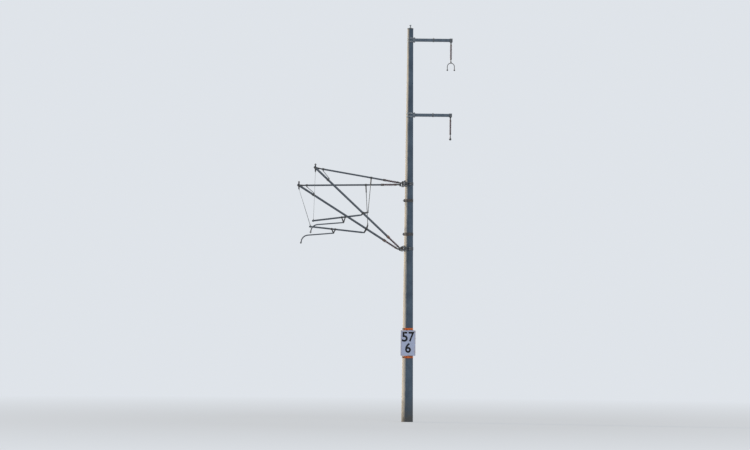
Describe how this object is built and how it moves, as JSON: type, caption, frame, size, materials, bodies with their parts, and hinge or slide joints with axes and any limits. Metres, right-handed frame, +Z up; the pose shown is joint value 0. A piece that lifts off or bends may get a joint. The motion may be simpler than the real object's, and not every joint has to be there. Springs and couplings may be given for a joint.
{
  "type": "railway catenary mast",
  "caption": "Tapered round mast beside a railway, with twin swinging cantilevers for the catenary on one side and feeder arms with hanging insulators on the other.",
  "frame": {"origin": "centre of the pole's flat foot, at ground level", "axes": "+Z up along the pole, -X towards the track, +Y along the track"},
  "size_m": [5.1139, 1.6406, 12.939],
  "materials": {
    "concrete": "spun concrete",
    "dark_cap": "matt",
    "galvanised_steel": "weathered galvanising",
    "arm_steel": "weathered galvanising",
    "cast_fitting": "weathered casting",
    "tube_aluminium": "dull extruded tube",
    "rod_steel": "dull stainless steel",
    "silicone": "weathered silicone rubber",
    "board_white": "enamelled sheet",
    "strap_orange": "painted strap, rusty at its edges"
  },
  "bodies": {
    "mast": {"board_rail": "strap_orange", "board_straps": "strap_orange", "far_lower_bracket": "galvanised_steel", "far_upper_bracket": "galvanised_steel", "head_wire_clamp": "galvanised_steel", "lower_beam_band": "galvanised_steel", "lower_cross_beam": "galvanised_steel", "lower_feeder_arm": "arm_steel", "lower_feeder_collar": "arm_steel", "lower_feeder_end": "arm_steel", "lower_feeder_mid_clamp": "arm_steel", "mast_cap": "dark_cap", "mast_pole": "concrete", "near_lower_bracket": "galvanised_steel", "near_upper_bracket": "galvanised_steel", "number_board": "board_white", "pole_wire_bands": "cast_fitting", "upper_beam_band": "galvanised_steel", "upper_cross_beam": "galvanised_steel", "upper_feeder_arm": "arm_steel", "upper_feeder_collar": "arm_steel", "upper_feeder_end": "arm_steel", "upper_feeder_mid_clamp": "arm_steel"},
    "near_cantilever": {"near_catenary_clamp": "cast_fitting", "near_diagonal_insulator": "silicone", "near_diagonal_tube": "tube_aluminium", "near_drop_bracket": "cast_fitting", "near_gusset_strut": "rod_steel", "near_hanger_rod": "rod_steel", "near_lower_swivel": "cast_fitting", "near_registration_joint": "cast_fitting", "near_registration_tube": "tube_aluminium", "near_support_wire": "rod_steel", "near_tip_clamp": "cast_fitting", "near_top_insulator": "silicone", "near_top_tube": "tube_aluminium", "near_upper_swivel": "cast_fitting"},
    "far_cantilever": {"far_catenary_clamp": "cast_fitting", "far_diagonal_insulator": "silicone", "far_diagonal_tube": "tube_aluminium", "far_drop_bracket": "cast_fitting", "far_gusset_strut": "rod_steel", "far_hanger_rod": "rod_steel", "far_lower_swivel": "cast_fitting", "far_registration_joint": "cast_fitting", "far_registration_tube": "tube_aluminium", "far_support_wire": "rod_steel", "far_tip_clamp": "cast_fitting", "far_top_insulator": "silicone", "far_top_tube": "tube_aluminium", "far_upper_swivel": "cast_fitting"},
    "near_steady_arm": {"near_contact_clamp": "cast_fitting", "near_steady_arm": "tube_aluminium"},
    "far_steady_arm": {"far_contact_clamp": "cast_fitting", "far_steady_arm": "tube_aluminium"},
    "upper_insulator": {"upper_feeder_insulator": "silicone", "upper_wire_clamps": "cast_fitting", "upper_wire_yoke": "cast_fitting"},
    "lower_insulator": {"lower_feeder_insulator": "silicone", "lower_wire_clamp": "cast_fitting"}
  },
  "joints": [
    {"name": "near_cantilever_swing", "type": "hinge", "parent": "mast", "child": "near_cantilever", "pos_m": [-0.2506, -0.75, 5.64], "axis": [0, 0, 1], "range_deg": [-12, 12]},
    {"name": "near_arm_lift", "type": "hinge", "parent": "near_cantilever", "child": "near_steady_arm", "pos_m": [-2.15, -0.75, 6.44897], "axis": [0, 1, 0], "range_deg": [0, 6]},
    {"name": "far_cantilever_swing", "type": "hinge", "parent": "mast", "child": "far_cantilever", "pos_m": [-0.2506, 0.75, 5.64], "axis": [0, 0, 1], "range_deg": [-12, 12]},
    {"name": "far_arm_lift", "type": "hinge", "parent": "far_cantilever", "child": "far_steady_arm", "pos_m": [-2.43, 0.75, 6.13913], "axis": [0, 1, 0], "range_deg": [0, 6]},
    {"name": "upper_insulator_swing", "type": "hinge", "parent": "mast", "child": "upper_insulator", "pos_m": [1.3325, 0, 12.3477], "axis": [0, 1, 0], "range_deg": [-35, 35]},
    {"name": "lower_insulator_swing", "type": "hinge", "parent": "mast", "child": "lower_insulator", "pos_m": [1.3325, 0, 9.8977], "axis": [0, 1, 0], "range_deg": [-35, 35]}
  ]
}
